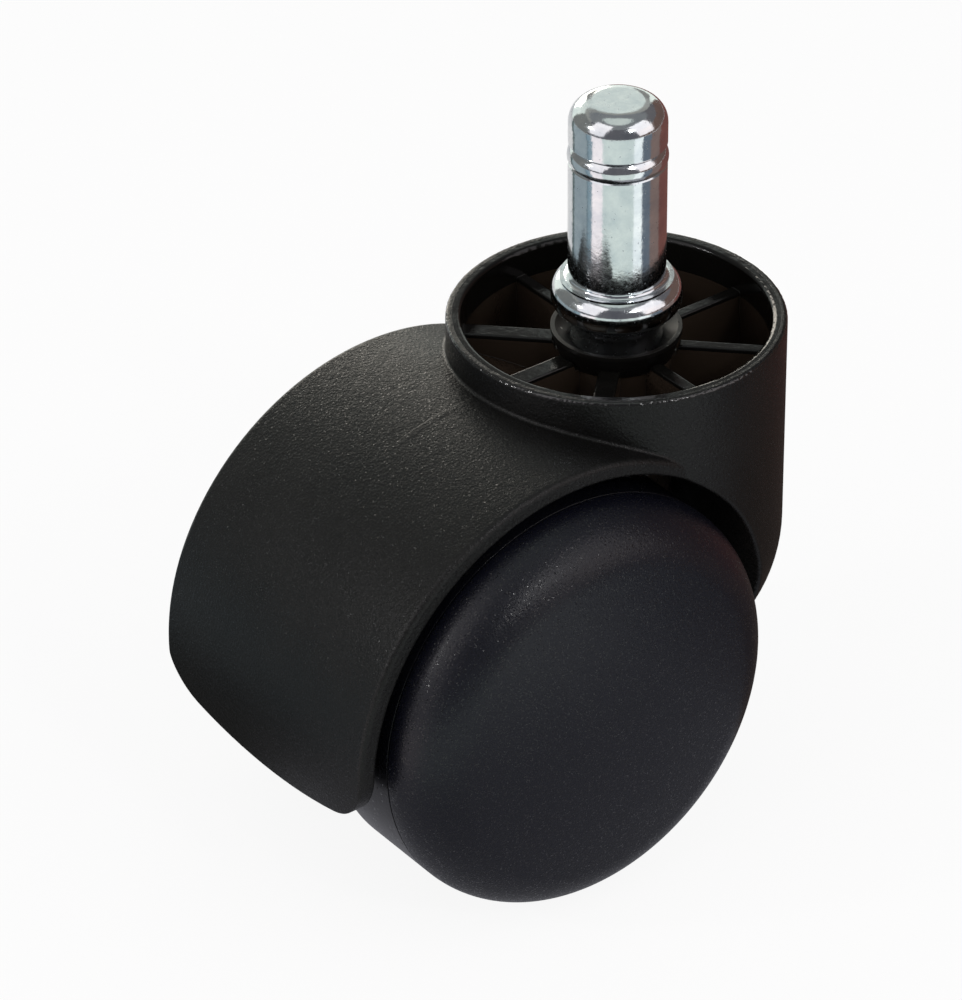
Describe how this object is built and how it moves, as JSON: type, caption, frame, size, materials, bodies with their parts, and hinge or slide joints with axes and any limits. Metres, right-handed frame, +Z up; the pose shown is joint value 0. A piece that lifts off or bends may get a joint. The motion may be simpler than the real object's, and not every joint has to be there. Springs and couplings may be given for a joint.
{
  "type": "chair caster wheel",
  "caption": "Hooded twin-wheel swivel caster for an office chair base, with a plain round plug-in stem and domed wheel covers.",
  "frame": {"origin": "on the stem's axis, in the plane of the collar's top shoulder, where the chair base's socket ends", "axes": "+Z up along the stem, -X towards the trailing wheels, Y along the wheel axle"},
  "size_m": [0.0695, 0.0534, 0.0856],
  "materials": {
    "housing_nylon": "black nylon, fine spark-eroded texture",
    "bush_nylon": "black acetal, smooth",
    "wheel_nylon": "black nylon, satin",
    "cover_nylon": "black nylon, fine spark-eroded texture",
    "zinc_plate": "bright zinc-plated steel",
    "axle_steel": "ground steel",
    "spring_steel": "phosphated spring steel"
  },
  "bodies": {
    "stem": {"stem": "zinc_plate", "grip_ring": "zinc_plate", "stem_clip": "spring_steel"},
    "housing": {"housing": "housing_nylon", "swivel_bush": "bush_nylon", "axle": "axle_steel", "axle_clip_left": "spring_steel", "axle_clip_right": "spring_steel"},
    "wheel_left": {"wheel_left": "wheel_nylon", "wheel_cover_left": "cover_nylon"},
    "wheel_right": {"wheel_right": "wheel_nylon", "wheel_cover_right": "cover_nylon"}
  },
  "joints": [
    {"name": "swivel", "type": "hinge", "parent": "stem", "child": "housing", "pos_m": [0, 0, -0.015], "axis": [0, 0, 1], "continuous": true},
    {"name": "wheel_left_spin", "type": "hinge", "parent": "housing", "child": "wheel_left", "pos_m": [-0.02055, 0.012, -0.0386], "axis": [0, 1, 0], "continuous": true},
    {"name": "wheel_right_spin", "type": "hinge", "parent": "housing", "child": "wheel_right", "pos_m": [-0.02055, -0.012, -0.0386], "axis": [0, 1, 0], "continuous": true}
  ]
}
